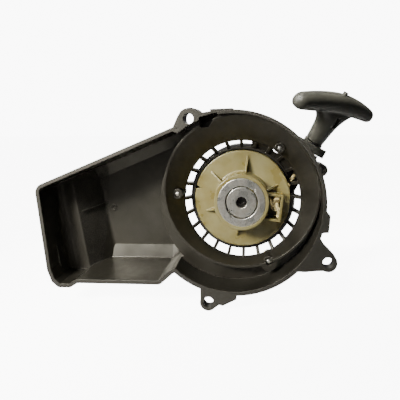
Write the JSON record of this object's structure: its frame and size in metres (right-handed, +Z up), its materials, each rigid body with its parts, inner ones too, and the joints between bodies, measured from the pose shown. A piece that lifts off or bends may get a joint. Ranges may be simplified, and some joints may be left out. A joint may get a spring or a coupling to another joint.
{
  "type": "recoil starter",
  "caption": "Recoil starter with a fan shroud and side air duct: nylon reel, rewind spring, steel drive ring, rope guide and pull rope with a T-handle.",
  "frame": {"origin": "where the crank axis meets the mounting plane, which is the plane of the ear faces and the outer lip", "axes": "+X to the right and +Z up as seen from the engine, +Y along the crank axis away from the engine; the air duct points to -X"},
  "size_m": [0.2331, 0.0629, 0.141],
  "materials": {
    "black_plastic": "satin moulded black plastic with a brown-grey sheen",
    "grip_plastic": "fine-grained dark plastic",
    "cream_nylon": "cream nylon with a soft gloss",
    "bright_steel": "turned and zinc plated",
    "spring_steel": "oiled blue-grey strip",
    "rope": "braided tan rope"
  },
  "bodies": {
    "root": {"fan_shroud": "black_plastic", "recoil_cover": "black_plastic", "cover_screw_left": "bright_steel", "cover_screw_upper": "bright_steel", "cover_screw_lower": "bright_steel", "rope_guide": "grip_plastic", "guide_eyelet": "bright_steel", "retainer_disc": "bright_steel", "centre_screw": "bright_steel", "friction_washer": "bright_steel", "rewind_spring": "spring_steel", "spring_plate": "bright_steel", "spring_pin": "bright_steel", "rope_run": "rope"},
    "reel": {"reel": "cream_nylon", "drive_ring": "bright_steel", "rope_winding": "rope", "reel_knot": "rope"},
    "handle": {"handle_grip": "grip_plastic", "handle_knot": "rope", "knot_washer": "bright_steel", "rope_tail": "grip_plastic", "rope_lead": "rope"}
  },
  "joints": [
    {"name": "reel_spin", "type": "hinge", "parent": "root", "child": "reel", "pos_m": [0, 0, 0], "axis": [0, -1, 0], "range_deg": [0, 1440], "stiffness_Nm_per_rad": 0.018, "springref_deg": -956.84},
    {"name": "handle_pull", "type": "slide", "parent": "root", "child": "handle", "axis": [0.4636, -0.3746, 0.803], "range_m": [0, 0.6158]}
  ],
  "couplings": [
    {"joint": "handle_pull", "follows": "reel_spin", "m_per_rad": 0.0245}
  ]
}
